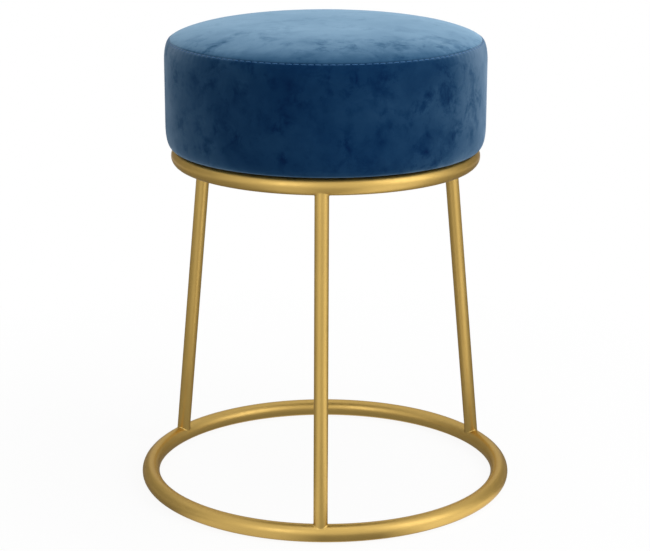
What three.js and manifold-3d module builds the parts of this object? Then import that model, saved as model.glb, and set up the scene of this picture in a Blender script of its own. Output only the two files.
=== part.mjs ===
// Vanity stool: a round velvet cushion on a frame of two steel rings and three splayed legs.
// Millimetres, +Z up. The origin is on the floor at the centre of the lower ring, and the front leg
// stands towards -Y.
import * as THREE from "three";
import { mergeVertices } from "three/addons/utils/BufferGeometryUtils.js";
import Module from "manifold-3d";

// Frame
const lowerRingRadius = 185; // to the middle of the tube
const upperRingRadius = 148.5;
const frameHeight = 357.5; // floor to the top of the upper ring
const ringTubeRadius = 9;
const ringTubeWall = 1.2;
const legTubeRadius = 7;
const legTubeWall = 1.2;
const legCount = 3;
const ventRadius = 2.5; // drain holes from the rings into the legs

// Seat tabs, welded to the inside of the upper ring
const tabWidth = 24;
const tabThickness = 3;
const tabReach = 28.5; // from the middle of the ring's tube to the screw hole
const tabHoleRadius = 3.5;

// Seat board and foam
const boardOverhang = 4; // past the middle of the upper ring's tube
const boardThickness = 15;
const foamLip = 1.5; // foam under the rolled edge, outside the board

// Velvet cover, measured over its outside
const velvetThickness = 1.2;
const bandBulge = 8.7; // the band stands this far out past the lip
const seamInset = 4.1; // the top seam lies this far inside the band
const seamHeight = 111; // above the frame
const shoulderDepth = 21.5; // over which the band curves in to the seam
const flankDepth = 27.5; // over which it curves in to the underside
const flankPower = 2.7; // 2 is an ellipse, more is squarer
const crownHeight = 15.5; // above the seam
const hemWidth = 28; // turned under the board

// Dust cover and staples
const dustCoverThickness = 0.5;
const dustCoverInset = 1.5; // inside the bore of the upper ring
const stapleCount = 12;
const stapleCrown = 11;
const stapleLeg = 9;
const stapleWireWidth = 1.3;
const stapleWireThickness = 0.7;

// M6 screws, washers and pronged nuts
const screwRadius = 3;
const screwLength = 20;
const screwTipChamfer = 0.6;
const screwHeadRadius = 5.25;
const screwHeadHeight = 3.3;
const screwHeadRim = 0.7;
const socketAcrossFlats = 4;
const socketDepth = 2;
const washerRadius = 6;
const washerThickness = 1.6;
const nutFlangeRadius = 9.5;
const nutFlangeThickness = 1.5;
const nutBarrelRadius = 4;
const nutBarrelLength = 10;
const prongCount = 4;
const prongWidth = 3;
const prongThickness = 1.2;
const prongLength = 6;
const prongInset = 1.8; // from the flange's edge to the middle of a prong

// Fits
const gap = 0.3; // between touching pieces
const paddingGap = 0.5; // between the foam and its cover
const screwClearance = 0.3;
const overrun = 2; // how far a cutter runs past the face that it opens

// Facets
const roundSides = 48;
const tubeSides = 12;
const smallSides = 12;
const ventSides = 8;
const hexSides = 6;
const crownSpans = 6;
const shoulderSpans = 3;
const flankSpans = 4;
const domeSpans = 3;

const fullTurn = 2 * Math.PI;
const ventLength = 2 * ringTubeRadius;

// Heights of the stack, from the frame up
const lowerRingZ = ringTubeRadius;
const upperRingZ = frameHeight - ringTubeRadius;
const hemBottom = frameHeight + gap;
const hemTop = hemBottom + velvetThickness;
const boardBottom = hemTop + gap;
const boardTop = boardBottom + boardThickness;
const seamZ = frameHeight + seamHeight;
const nutFlangeBottom = boardTop + gap;

// and from the frame down
const dustCoverTop = hemBottom - gap;
const dustCoverBottom = dustCoverTop - dustCoverThickness;
const tabTop = dustCoverBottom - gap;
const tabBottom = tabTop - tabThickness;
const washerTop = tabBottom - gap;
const washerBottom = washerTop - washerThickness;
const screwHeadTop = washerBottom - gap;

// Radii of the cushion's plan
const boardRadius = upperRingRadius + boardOverhang;
const foldRadius = boardRadius + foamLip;
const bandRadius = foldRadius + bandBulge;
const seamRadius = bandRadius - seamInset;
const hemInnerRadius = foldRadius - hemWidth;
const dustCoverRadius = upperRingRadius - ringTubeRadius - dustCoverInset;
const stapleRadius = (hemInnerRadius + dustCoverRadius) / 2;
const fixingRadius = upperRingRadius - tabReach;
const boltHoleRadius = nutBarrelRadius + screwClearance;

const wasm = await Module();
wasm.setup();

// A closed geometry as a solid that can be joined and cut.
function toSolid(geometry) {
  const bare = geometry.clone();
  bare.deleteAttribute("normal");
  bare.deleteAttribute("uv");
  const merged = mergeVertices(bare);
  return new wasm.Manifold(
    new wasm.Mesh({
      numProp: 3,
      vertProperties: merged.attributes.position.array,
      triVerts: new Uint32Array(merged.index.array),
    }),
  );
}

function toGeometry(solid) {
  const { vertProperties, triVerts } = solid.getMesh();
  const geometry = new THREE.BufferGeometry()
    .setAttribute("position", new THREE.BufferAttribute(vertProperties, 3))
    .setIndex(new THREE.BufferAttribute(triVerts, 1))
    .toNonIndexed();
  geometry.computeVertexNormals();
  return geometry;
}

// The geometry with each cutter taken out of it.
function cut(geometry, cutters) {
  const left = cutters.reduce((solid, cutter) => solid.subtract(toSolid(cutter)), toSolid(geometry));
  return toGeometry(left);
}

// A closed outline of [radius, height] points, turned about the Z axis from the front.
function revolve(outline, sides) {
  const points = outline.map(([r, z]) => new THREE.Vector2(r, z));
  return new THREE.LatheGeometry(points, sides).rotateX(Math.PI / 2);
}

// A solid disc or rod about the Z axis, between two heights.
function rod(radius, bottom, top, sides) {
  return revolve([[0, bottom], [radius, bottom], [radius, top], [0, top]], sides);
}

function movedFront(geometry, radius) {
  return geometry.translate(0, -radius, 0);
}

// Copies of a geometry round the Z axis, the first one turned by the offset.
function around(geometry, count, offset) {
  return Array.from({ length: count }, (_, i) =>
    geometry.clone().rotateZ(offset + (i * fullTurn) / count),
  );
}

// The section of a ring: its flats touch a circle of the given radius, and one is the lowest.
function ringSection(centreRadius, centreZ, radius) {
  const cornerRadius = radius / Math.cos(Math.PI / tubeSides);
  const corners = Array.from({ length: tubeSides + 1 }, (_, i) => {
    const angle = ((i + 0.5) * fullTurn) / tubeSides;
    return [centreRadius + cornerRadius * Math.cos(angle), centreZ + cornerRadius * Math.sin(angle)];
  });
  corners[tubeSides] = corners[0];
  return corners;
}

function ringBar(centreRadius, centreZ, radius) {
  return revolve(ringSection(centreRadius, centreZ, radius), roundSides);
}

// The leg's middle line, which runs between the middles of the two rings' tubes.
const legFoot = new THREE.Vector3(0, -lowerRingRadius, lowerRingZ);
const legHead = new THREE.Vector3(0, -upperRingRadius, upperRingZ);

// A rod along the line from one point to another.
function rodBetween(from, to, radius, sides) {
  const along = to.clone().sub(from);
  const turn = new THREE.Quaternion().setFromUnitVectors(
    new THREE.Vector3(0, 1, 0),
    along.clone().normalize(),
  );
  const middle = from.clone().add(to).multiplyScalar(0.5);
  return new THREE.CylinderGeometry(radius, radius, along.length(), sides)
    .applyQuaternion(turn)
    .translate(middle.x, middle.y, middle.z);
}

function pointAlong(from, to, distance) {
  return from.clone().add(to.clone().sub(from).setLength(distance));
}

// A hollow ring with a drain hole under each leg.
function ringTube(centreRadius, centreZ, ventFrom, ventTowards) {
  const vent = rodBetween(
    ventFrom,
    pointAlong(ventFrom, ventTowards, ventLength),
    ventRadius,
    ventSides,
  );
  return cut(ringBar(centreRadius, centreZ, ringTubeRadius), [
    ringBar(centreRadius, centreZ, ringTubeRadius - ringTubeWall),
    ...around(vent, legCount, 0),
  ]);
}

const copeRadius = ringTubeRadius + gap;
const lowerCope = ringBar(lowerRingRadius, lowerRingZ, copeRadius);
const upperCope = ringBar(upperRingRadius, upperRingZ, copeRadius);

// The front leg: a tube whose ends are coped to the rings.
function legTube() {
  const boreFoot = pointAlong(legFoot, legHead, -overrun);
  const boreHead = pointAlong(legHead, legFoot, -overrun);
  return cut(rodBetween(legFoot, legHead, legTubeRadius, tubeSides), [
    rodBetween(boreFoot, boreHead, legTubeRadius - legTubeWall, tubeSides),
    lowerCope,
    upperCope,
  ]);
}

// A flat bar with a round inner end about its screw hole, coped to the upper ring.
function seatTab() {
  const half = tabWidth / 2;
  const outline = new THREE.Shape();
  outline.moveTo(half, -upperRingRadius);
  outline.lineTo(half, -fixingRadius);
  outline.absarc(0, -fixingRadius, half, 0, Math.PI, false);
  outline.lineTo(-half, -upperRingRadius);
  const hole = new THREE.Path();
  hole.absarc(0, -fixingRadius, tabHoleRadius, 0, fullTurn, true);
  outline.holes.push(hole);
  const bar = new THREE.ExtrudeGeometry(outline, {
    depth: tabThickness,
    bevelEnabled: false,
    curveSegments: smallSides,
  }).translate(0, 0, tabBottom);
  return cut(bar, [upperCope]);
}

// Outside of the crown, from the seam to the middle: half an ellipse.
function crownOutline(spans) {
  return Array.from({ length: spans + 1 }, (_, i) => {
    const angle = (i / spans) * (Math.PI / 2);
    return [seamRadius * Math.cos(angle), seamZ + gap + crownHeight * Math.sin(angle)];
  });
}

// Outside of the band, from the hem's inner edge out to the fold, up the flank and in to the seam.
function bandOutline() {
  const flank = Array.from({ length: flankSpans + 1 }, (_, i) => {
    const angle = (i / flankSpans) * (Math.PI / 2);
    const out = Math.sin(angle) ** (2 / flankPower);
    const up = 1 - Math.cos(angle) ** (2 / flankPower);
    return [foldRadius + (bandRadius - foldRadius) * out, hemBottom + flankDepth * up];
  });
  const shoulder = Array.from({ length: shoulderSpans + 1 }, (_, i) => {
    const angle = (i / shoulderSpans) * (Math.PI / 2);
    return [
      seamRadius + seamInset * Math.cos(angle),
      seamZ - shoulderDepth + shoulderDepth * Math.sin(angle),
    ];
  });
  return [...flank, ...shoulder];
}

// The outline moved inwards, square to itself, by the given depth. It runs with its inside on its left.
function inset(outline, depth) {
  return outline.map(([r, z], i) => {
    const [fromR, fromZ] = outline[Math.max(i - 1, 0)];
    const [toR, toZ] = outline[Math.min(i + 1, outline.length - 1)];
    const along = new THREE.Vector2(toR - fromR, toZ - fromZ).normalize();
    return [r - along.y * depth, z + along.x * depth];
  });
}

const crown = crownOutline(crownSpans);
const band = bandOutline();

// The crown's inset keeps its first point level with the edge and its last one on the axis.
function crownInset(depth) {
  const moved = inset(crown, depth);
  moved[0] = [seamRadius - depth, seamZ + gap];
  moved[crownSpans] = [0, seamZ + gap + crownHeight - depth];
  return moved;
}

// The band's inset keeps its first point over the fold and its last one below the seam.
function bandInset(depth) {
  const moved = inset(band, depth);
  moved[0] = [foldRadius, hemBottom + depth];
  moved[moved.length - 1] = [seamRadius, seamZ - depth];
  return moved;
}

function coverTop() {
  return revolve([...crownInset(velvetThickness).reverse(), ...crown], roundSides);
}

// The legs of the staples, as rods with a clearance, for the holes that they pass through.
const staplePitch = fullTurn / stapleCount;
const stapleTop = dustCoverBottom - gap;
const stapleBottom = stapleTop - stapleWireThickness;

function stapleHole(side) {
  const wide = stapleWireThickness + 2 * gap;
  const deep = stapleWireWidth + 2 * gap;
  const tall = stapleLeg + gap + overrun;
  const across = (side * (stapleCrown - stapleWireThickness)) / 2;
  const bottom = stapleBottom - overrun;
  const hole = new THREE.BoxGeometry(wide, deep, tall).translate(across, 0, bottom + tall / 2);
  return movedFront(hole, stapleRadius);
}

const stapleHoles = [-1, 1].flatMap((side) => around(stapleHole(side), stapleCount, staplePitch / 2));

// The staple is an outline drawn upright and given the wire's width.
function staple() {
  const half = stapleCrown / 2;
  const outline = new THREE.Shape([
    new THREE.Vector2(-half, 0),
    new THREE.Vector2(half, 0),
    new THREE.Vector2(half, stapleLeg),
    new THREE.Vector2(half - stapleWireThickness, stapleLeg),
    new THREE.Vector2(half - stapleWireThickness, stapleWireThickness),
    new THREE.Vector2(stapleWireThickness - half, stapleWireThickness),
    new THREE.Vector2(stapleWireThickness - half, stapleLeg),
    new THREE.Vector2(-half, stapleLeg),
  ]);
  const wire = new THREE.ExtrudeGeometry(outline, { depth: stapleWireWidth, bevelEnabled: false })
    .translate(0, 0, -stapleWireWidth / 2)
    .rotateX(Math.PI / 2)
    .translate(0, 0, stapleBottom);
  return movedFront(wire, stapleRadius);
}

// Each screw stands between two legs.
const fixingOffset = fullTurn / legCount / 2;
const screwHoles = around(
  movedFront(
    rod(boltHoleRadius, dustCoverBottom - overrun, boardTop + overrun, smallSides),
    fixingRadius,
  ),
  legCount,
  fixingOffset,
);

function coverBand() {
  const hemEdge = [
    [hemInnerRadius, hemTop],
    [hemInnerRadius, hemBottom],
  ];
  const outline = [...hemEdge, ...band, ...bandInset(velvetThickness).reverse(), hemEdge[0]];
  return cut(revolve(outline, roundSides), [...stapleHoles, ...screwHoles]);
}

function dustCover() {
  const disc = rod(dustCoverRadius, dustCoverBottom, dustCoverTop, roundSides);
  return cut(disc, [...stapleHoles, ...screwHoles]);
}

// Where a prong enters the board.
const prongRadius = nutFlangeRadius - prongInset;

function prongHole() {
  const tall = prongLength + gap + overrun;
  return new THREE.BoxGeometry(prongWidth + 2 * gap, prongThickness + 2 * gap, tall).translate(
    0,
    -prongRadius,
    nutFlangeBottom - prongLength - gap + tall / 2,
  );
}

function seatBoard() {
  const prongHoles = around(prongHole(), prongCount, 0).map((hole) => movedFront(hole, fixingRadius));
  return cut(rod(boardRadius, boardBottom, boardTop, roundSides), [
    ...screwHoles,
    ...prongHoles.flatMap((hole) => around(hole, legCount, fixingOffset)),
    ...stapleHoles,
  ]);
}

function foamPad() {
  const depth = velvetThickness + paddingGap;
  const lip = boardRadius + gap;
  const roof = boardTop + gap;
  const under = hemTop + paddingGap;
  const outline = [[0, roof], [lip, roof], [lip, under], ...bandInset(depth), ...crownInset(depth)];
  const pocket = rod(
    nutFlangeRadius + gap,
    roof - overrun,
    nutFlangeBottom + nutFlangeThickness + gap,
    smallSides,
  );
  return cut(
    revolve(outline, roundSides),
    around(movedFront(pocket, fixingRadius), legCount, fixingOffset),
  );
}

// A flange with a threaded barrel and prongs, all pointing down into the board.
function teeNut() {
  const boreRadius = screwRadius + screwClearance;
  const flangeTop = nutFlangeBottom + nutFlangeThickness;
  const barrelBottom = nutFlangeBottom - nutBarrelLength;
  const body = revolve(
    [
      [boreRadius, barrelBottom],
      [nutBarrelRadius, barrelBottom],
      [nutBarrelRadius, nutFlangeBottom],
      [nutFlangeRadius, nutFlangeBottom],
      [nutFlangeRadius, flangeTop],
      [boreRadius, flangeTop],
      [boreRadius, barrelBottom],
    ],
    smallSides,
  );
  const root = nutFlangeBottom + nutFlangeThickness / 2;
  const prong = new THREE.ExtrudeGeometry(
    new THREE.Shape([
      new THREE.Vector2(-prongWidth / 2, root),
      new THREE.Vector2(0, nutFlangeBottom - prongLength),
      new THREE.Vector2(prongWidth / 2, root),
    ]),
    { depth: prongThickness, bevelEnabled: false },
  )
    .translate(0, 0, -prongThickness / 2)
    .rotateX(Math.PI / 2);
  const prongs = around(movedFront(prong, prongRadius), prongCount, 0);
  const joined = prongs.reduce((solid, piece) => solid.add(toSolid(piece)), toSolid(body));
  return movedFront(toGeometry(joined), fixingRadius);
}

// A domed head with a hex socket, and a plain shank in place of the thread.
function seatScrew() {
  const tip = screwHeadTop + screwLength;
  const dome = Array.from({ length: domeSpans + 1 }, (_, i) => {
    const angle = (i / domeSpans) * (Math.PI / 2);
    const rise = (screwHeadHeight - screwHeadRim) * Math.cos(angle);
    return [screwHeadRadius * Math.sin(angle), screwHeadTop - screwHeadRim - rise];
  });
  const body = revolve(
    [
      ...dome,
      [screwHeadRadius, screwHeadTop],
      [screwRadius, screwHeadTop],
      [screwRadius, tip - screwTipChamfer],
      [screwRadius - screwTipChamfer, tip],
      [0, tip],
    ],
    smallSides,
  );
  const headBottom = screwHeadTop - screwHeadHeight;
  const socketRadius = socketAcrossFlats / 2 / Math.cos(Math.PI / hexSides);
  const socket = rod(socketRadius, headBottom - overrun, headBottom + socketDepth, hexSides);
  return movedFront(cut(body, [socket]), fixingRadius);
}

function seatWasher() {
  const boreRadius = screwRadius + screwClearance;
  const ring = revolve(
    [
      [boreRadius, washerBottom],
      [washerRadius, washerBottom],
      [washerRadius, washerTop],
      [boreRadius, washerTop],
      [boreRadius, washerBottom],
    ],
    smallSides,
  );
  return movedFront(ring, fixingRadius);
}

function finish(color, roughness, metalness) {
  return () => new THREE.MeshStandardMaterial({ color, roughness, metalness });
}

const gold = finish(0xb08e46, 0.38, 1);
const velvet = finish(0x1d4066, 0.9, 0);
const plywood = finish(0xc7a573, 0.7, 0);
const foam = finish(0xe8dfc4, 0.95, 0);
const blackCloth = finish(0x1b1b1d, 0.9, 0);
const zinc = finish(0xb9bcc0, 0.35, 1);

function piece(name, geometry, material, turn = 0) {
  const mesh = new THREE.Mesh(geometry, material());
  mesh.name = name;
  mesh.rotation.z = turn;
  return mesh;
}

const stool = new THREE.Group();
stool.add(
  piece("lower_ring", ringTube(lowerRingRadius, lowerRingZ, legFoot, legHead), gold),
  piece("upper_ring", ringTube(upperRingRadius, upperRingZ, legHead, legFoot), gold),
  piece("seat_board", seatBoard(), plywood),
  piece("foam_pad", foamPad(), foam),
  piece("cover_top", coverTop(), velvet),
  piece("cover_band", coverBand(), velvet),
  piece("dust_cover", dustCover(), blackCloth),
);

const legNames = ["leg_front", "leg_rear_right", "leg_rear_left"];
const fixingNames = ["right", "rear", "left"];
for (let i = 0; i < legCount; i++) {
  const legTurn = (i * fullTurn) / legCount;
  const fixingTurn = legTurn + fixingOffset;
  stool.add(
    piece(legNames[i], legTube(), gold, legTurn),
    piece("seat_tab_" + fixingNames[i], seatTab(), gold, fixingTurn),
    piece("tee_nut_" + fixingNames[i], teeNut(), zinc, fixingTurn),
    piece("seat_screw_" + fixingNames[i], seatScrew(), zinc, fixingTurn),
    piece("seat_washer_" + fixingNames[i], seatWasher(), zinc, fixingTurn),
  );
}

for (let i = 0; i < stapleCount; i++) {
  const name = "staple_" + String(i + 1).padStart(2, "0");
  stool.add(piece(name, staple(), zinc, (i + 0.5) * staplePitch));
}

export default stool;
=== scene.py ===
import math

import bpy
import numpy as np
from bpy.props import FloatProperty, FloatVectorProperty, IntProperty, PointerProperty
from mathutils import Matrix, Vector
from mathutils.bvhtree import BVHTree


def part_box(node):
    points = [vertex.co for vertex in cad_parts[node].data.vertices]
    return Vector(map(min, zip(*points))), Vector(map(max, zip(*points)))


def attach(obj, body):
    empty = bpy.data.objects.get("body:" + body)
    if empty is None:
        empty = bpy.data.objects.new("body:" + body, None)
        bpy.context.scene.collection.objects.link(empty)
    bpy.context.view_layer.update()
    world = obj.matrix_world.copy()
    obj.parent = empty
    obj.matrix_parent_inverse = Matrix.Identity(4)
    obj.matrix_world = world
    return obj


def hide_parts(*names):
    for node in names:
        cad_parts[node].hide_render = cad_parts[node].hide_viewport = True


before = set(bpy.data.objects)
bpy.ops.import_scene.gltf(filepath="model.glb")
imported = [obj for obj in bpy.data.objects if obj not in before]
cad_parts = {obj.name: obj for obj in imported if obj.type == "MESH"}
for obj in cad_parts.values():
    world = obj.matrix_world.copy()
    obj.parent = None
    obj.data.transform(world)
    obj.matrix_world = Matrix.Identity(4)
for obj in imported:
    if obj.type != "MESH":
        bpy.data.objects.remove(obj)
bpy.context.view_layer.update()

bl_info = {
    "name": "Vanity stool",
    "version": (1, 0, 0),
    "blender": (4, 5, 0),
    "location": "View3D > Sidebar > Vanity stool",
    "description": "Models the welded tube frame, the fixings and the velvet cushion of a round stool",
    "category": "Add Mesh",
}

MM = 0.001
FULL_TURN = 2 * math.pi
LEGS = ("front", "rear_right", "rear_left")
FIXINGS = ("right", "rear", "left")
LEG_TURN = FULL_TURN / len(LEGS)
STAPLES = sorted(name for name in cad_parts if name.startswith("staple_"))
STAPLE_TURN = FULL_TURN / len(STAPLES)
# Painted light on the glowing grey flags: paler fans where they lead to the soft boxes; the angle from
# the front, the half width and the strength
FANS = (
    (math.radians(50), math.radians(32), 1.5),
    (math.radians(-26), math.radians(26), 1.02),
)

# Painted sheen: how pale the velvet is painted, from its deep colour at 0 to its pale sheen colour at 1,
# where it faces the eye (0) and where it is seen from the side (1)
BAND_SHEEN_TONES = ((0.0, 0.09), (0.15, 0.13), (0.35, 0.19), (0.55, 0.34), (0.8, 0.57), (1.0, 0.72))
TOP_SHEEN_TONES = ((0.0, 0.24), (0.35, 0.32), (0.5, 0.4), (0.62, 0.59), (0.77, 0.78), (0.88, 0.92), (1.0, 1.0))
# How strong its clouds and ruffled marks are, along the same way
BAND_MARKS = ((0.0, 0.42), (1.0, 0.66))
# Painted light: how much paler the band is painted near its seam, where its shoulder faces up, along the
# same way
PAINTED_SHOULDER_LIFT = ((0.0, 0.0), (0.3, 0.01), (0.5, 0.14), (0.68, 0.14), (0.85, 0.0), (1.0, 0.0))
TOP_MARKS = ((0.0, 0.3), (0.35, 0.42), (0.6, 0.78), (0.8, 0.4), (1.0, 0.1))

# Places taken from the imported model
lower_ring_low, lower_ring_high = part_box("lower_ring")
upper_ring_low, upper_ring_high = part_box("upper_ring")
ring_tube = (lower_ring_high.z - lower_ring_low.z) / 2
lower_ring_radius = lower_ring_high.x - ring_tube
upper_ring_radius = upper_ring_high.x - ring_tube
lower_ring_height = lower_ring_low.z + ring_tube
upper_ring_height = upper_ring_low.z + ring_tube
board_low, board_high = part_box("seat_board")
hem_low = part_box("cover_band")[0].z
band_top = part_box("cover_band")[1].z
band_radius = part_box("cover_band")[1].x
top_low, top_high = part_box("cover_top")
cloth_low, cloth_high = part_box("dust_cover")
tab_low, tab_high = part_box("seat_tab_rear")
screw_low, screw_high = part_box("seat_screw_rear")
washer_low, washer_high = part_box("seat_washer_rear")
staple_low, staple_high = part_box(STAPLES[0])
fixing_radius = (washer_low.y + washer_high.y) / 2


def linear(red, green, blue):
    """A colour as it is seen on a screen, 0 to 255, as the linear values that Blender stores."""
    shares = [value / 255 for value in (red, green, blue)]
    return [s / 12.92 if s <= 0.04045 else ((s + 0.055) / 1.055) ** 2.4 for s in shares]


def length(name, description, default):
    return FloatProperty(name=name, description=description, default=default, unit="LENGTH", min=0)


def share(name, description, default):
    return FloatProperty(name=name, description=description, default=default, subtype="FACTOR", min=0)


def count(name, description, default):
    return IntProperty(name=name, description=description, default=default, min=3)


def colour(name, description, default):
    return FloatVectorProperty(name=name, description=description, default=default, subtype="COLOR")


class FrameSizes(bpy.types.PropertyGroup):
    ring_steps: count("Ring steps", "Steps round each ring", 144)
    ring_sides: count("Tube sides", "Sides of the rings' tube", 32)
    leg_sides: count("Leg sides", "Sides of the legs' tube", 48)
    leg_radius: length("Leg radius", "Outer radius of the legs' tube", 7 * MM)
    leg_wall: length("Leg wall", "Wall of the legs' tube", 1.2 * MM)
    weld_width: length("Weld width", "How far a weld reaches from the joint", 1.0 * MM)
    weld_ripple: share("Weld ripple", "How much a weld's width varies along it", 0.06)
    gold: colour("Gold", "Colour of the plated steel", linear(192, 159, 84))
    gold_edge: colour("Gold edge", "Tint of the gold where it is seen from the side", (0.42, 0.32, 0.18))
    gold_gloss: share("Gold roughness", "Roughness of the satin plating", 0.42)


class FixingSizes(bpy.types.PropertyGroup):
    tab_width: length("Tab width", "Width of a seat tab", 24 * MM)
    tab_hole: length("Tab hole", "Radius of the screw hole in a tab", 3.5 * MM)
    tab_edge: length("Tab edge", "Rounding of a tab's edges", 0.4 * MM)
    head_radius: length("Head radius", "Radius of a screw's domed head", 5.25 * MM)
    head_height: length("Head height", "Height of the domed head", 3.3 * MM)
    head_rim: length("Head rim", "Height of the straight rim of the head", 0.7 * MM)
    shank_radius: length("Shank radius", "Radius of an M6 screw", 3 * MM)
    socket_width: length("Socket width", "Across the flats of the hex socket", 4 * MM)
    socket_depth: length("Socket depth", "Depth of the hex socket", 2 * MM)
    washer_radius: length("Washer radius", "Outer radius of a washer", 6 * MM)
    washer_bore: length("Washer bore", "Bore radius of a washer", 3.3 * MM)
    wire_width: length("Staple wire width", "Width of the flat wire", 1.3 * MM)
    wire_thickness: length("Staple wire thickness", "Thickness of the flat wire", 0.7 * MM)
    zinc: colour("Zinc", "Colour of the zinc plating", linear(186, 188, 192))


class CushionSizes(bpy.types.PropertyGroup):
    seam_inset: length("Seam inset", "How far inside the band the top seam lies", 5.7 * MM)
    seam_drop: length("Seam drop", "How far the sewn seam is drawn down", 1.6 * MM)
    shoulder_depth: length("Shoulder depth", "Height of the band's upper curve", 19.9 * MM)
    shoulder_power: FloatProperty(
        name="Shoulder power", description="2 is an ellipse, less is straighter", default=1.94, min=1
    )
    crown_rise: length("Crown rise", "Height of the top panel's middle over its seam", 17.85 * MM)
    crown_power: FloatProperty(
        name="Crown power", description="2 is an ellipse, more is flatter", default=3.16, min=1
    )
    crown_edge_power: FloatProperty(
        name="Crown edge power",
        description="2 rises upright from the seam, less leans inwards",
        default=1.36,
        min=1,
    )
    flank_depth: length("Flank depth", "Height of the band's lower curve", 27.5 * MM)
    flank_power: FloatProperty(
        name="Flank power", description="2 is an ellipse, more is squarer", default=2.7, min=2
    )
    fold_radius: length("Fold radius", "Radius at which the band folds under", 154 * MM)
    hem_width: length("Hem width", "Velvet turned under the board", 28 * MM)
    velvet_thickness: length("Velvet thickness", "Backing and pile together", 1.2 * MM)
    stitches: count("Stitches", "Stitches round the top seam", 145)
    stitch_share: share("Stitch share", "Length of a stitch as a share of its pitch", 0.84)
    stitch_drop: length("Stitch drop", "Height of the seam above its topstitching", 0.75 * MM)
    thread_width: length("Thread width", "Width of the topstitching thread", 0.62 * MM)
    groove: length("Stitch groove", "How deep the thread pulls the velvet in", 0.42 * MM)
    pucker: length("Pucker", "Height of the small folds between the stitches", 0.14 * MM)
    velvet: colour("Velvet", "Colour of the velvet seen along its pile", linear(0, 27, 63))
    # Painted sheen: the pale colours that the band and the top are painted where they are seen from the
    # side
    band_sheen: colour("Band's painted sheen", "Painted sheen where the band is seen from the side", linear(154, 172, 190))
    top_sheen: colour("Top's painted sheen", "Painted sheen where the top panel is seen from the side", linear(146, 178, 202))
    thread: colour("Thread", "Colour of the topstitching", linear(58, 106, 156))
    foam: colour("Foam", "Colour of the foam", linear(232, 222, 196))
    cloth: colour("Dust cover", "Colour of the black non-woven cloth", linear(26, 26, 28))
    wood: colour("Plywood", "Colour of the birch plywood", linear(200, 168, 122))


class StageLook(bpy.types.PropertyGroup):
    key_power: FloatProperty(name="Key", description="Watts of the right soft box", default=17)
    wash_power: FloatProperty(
        name="Wash", description="Watts from the right that the metal doesn't reflect", default=23
    )
    fill_power: FloatProperty(name="Fill", description="Watts of the left soft box", default=8)
    top_power: FloatProperty(name="Top", description="Watts of the overhead soft box", default=3.6)
    sky_power: FloatProperty(name="Sky", description="Watts of the broad overhead light", default=37)
    room_light: share("Room light", "Strength of the light from all round", 0.27)
    # The flags are glowing panels seen only in reflections; this is the strength of their grey glow
    flag_tone: share("Flag tone", "How light the grey cloths look to the metal", 0.42)
    floor: colour("Floor", "Colour of the floor", linear(246, 246, 246))


# Modelling by hand


def deselect_all():
    if bpy.context.mode != "OBJECT":
        bpy.ops.object.mode_set(mode="OBJECT")
    bpy.ops.object.select_all(action="DESELECT")


def pick(piece):
    deselect_all()
    piece.select_set(True)
    bpy.context.view_layer.objects.active = piece


def named(name):
    """Names the new object and its mesh."""
    piece = bpy.context.object
    piece.name = name
    piece.data.name = name
    return piece


def edit_all():
    bpy.ops.object.mode_set(mode="EDIT")
    bpy.ops.mesh.select_all(action="SELECT")


def settle(piece):
    """Puts a piece's place, turn and scale into its mesh."""
    pick(piece)
    bpy.ops.object.transform_apply(location=True, rotation=True, scale=True)
    return piece


def drawn(name, points):
    """A line through the points, drawn corner by corner."""
    deselect_all()
    bpy.ops.mesh.primitive_plane_add(size=MM, location=(0, 0, 0))
    piece = named(name)
    edit_all()
    bpy.ops.mesh.merge(type="CENTER")
    bpy.ops.transform.translate(value=points[0])
    for start, end in zip(points, points[1:]):
        bpy.ops.mesh.extrude_region_move(TRANSFORM_OT_translate={"value": end - start})
    return piece


def apply_modifier(piece, kind, **settings):
    pick(piece)
    modifier = piece.modifiers.new(kind.title(), kind)
    for name, value in settings.items():
        setattr(modifier, name, value)
    bpy.ops.object.modifier_apply(modifier=modifier.name)


def closed_up(piece, smooth_angle=math.radians(35)):
    """Merges doubles, turns the faces outwards and smooths what isn't a real edge."""
    pick(piece)
    edit_all()
    bpy.ops.mesh.remove_doubles(threshold=0.002 * MM)
    bpy.ops.mesh.normals_make_consistent(inside=False)
    bpy.ops.object.mode_set(mode="OBJECT")
    bpy.ops.object.shade_smooth_by_angle(angle=smooth_angle)
    return piece


def spun(name, outline, steps, sectors=1):
    """An outline of (radius, height) points, spun about the Z axis. Many steps are spun as one
    sector, and the sector is repeated round the axis."""
    piece = drawn(name, [Vector((0, -r, z)) for r, z in outline])
    edit_all()
    bpy.ops.mesh.spin(
        steps=steps // sectors,
        angle=FULL_TURN / sectors,
        center=(0, 0, 0),
        axis=(0, 0, 1),
        use_auto_merge=False,
    )
    bpy.ops.object.mode_set(mode="OBJECT")
    if sectors > 1:
        bpy.ops.object.empty_add(location=(0, 0, 0), rotation=(0, 0, FULL_TURN / sectors))
        turn = bpy.context.object
        apply_modifier(
            piece,
            "ARRAY",
            count=sectors,
            use_relative_offset=False,
            use_object_offset=True,
            offset_object=turn,
            use_merge_vertices=True,
            use_merge_vertices_cap=True,
            merge_threshold=0.01 * MM,
        )
        bpy.data.objects.remove(turn)
    return closed_up(piece)


def copied(piece, name, turn):
    """A copy with its own mesh, turned about the Z axis."""
    pick(piece)
    bpy.ops.object.duplicate(linked=False)
    copy = named(name)
    copy.rotation_euler.z = turn
    return settle(copy)


def cut(piece, cutter):
    """Takes the cutter's shape out of the piece."""
    apply_modifier(piece, "BOOLEAN", operation="DIFFERENCE", solver="EXACT", object=cutter)
    bpy.data.objects.remove(cutter)
    return piece


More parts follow.
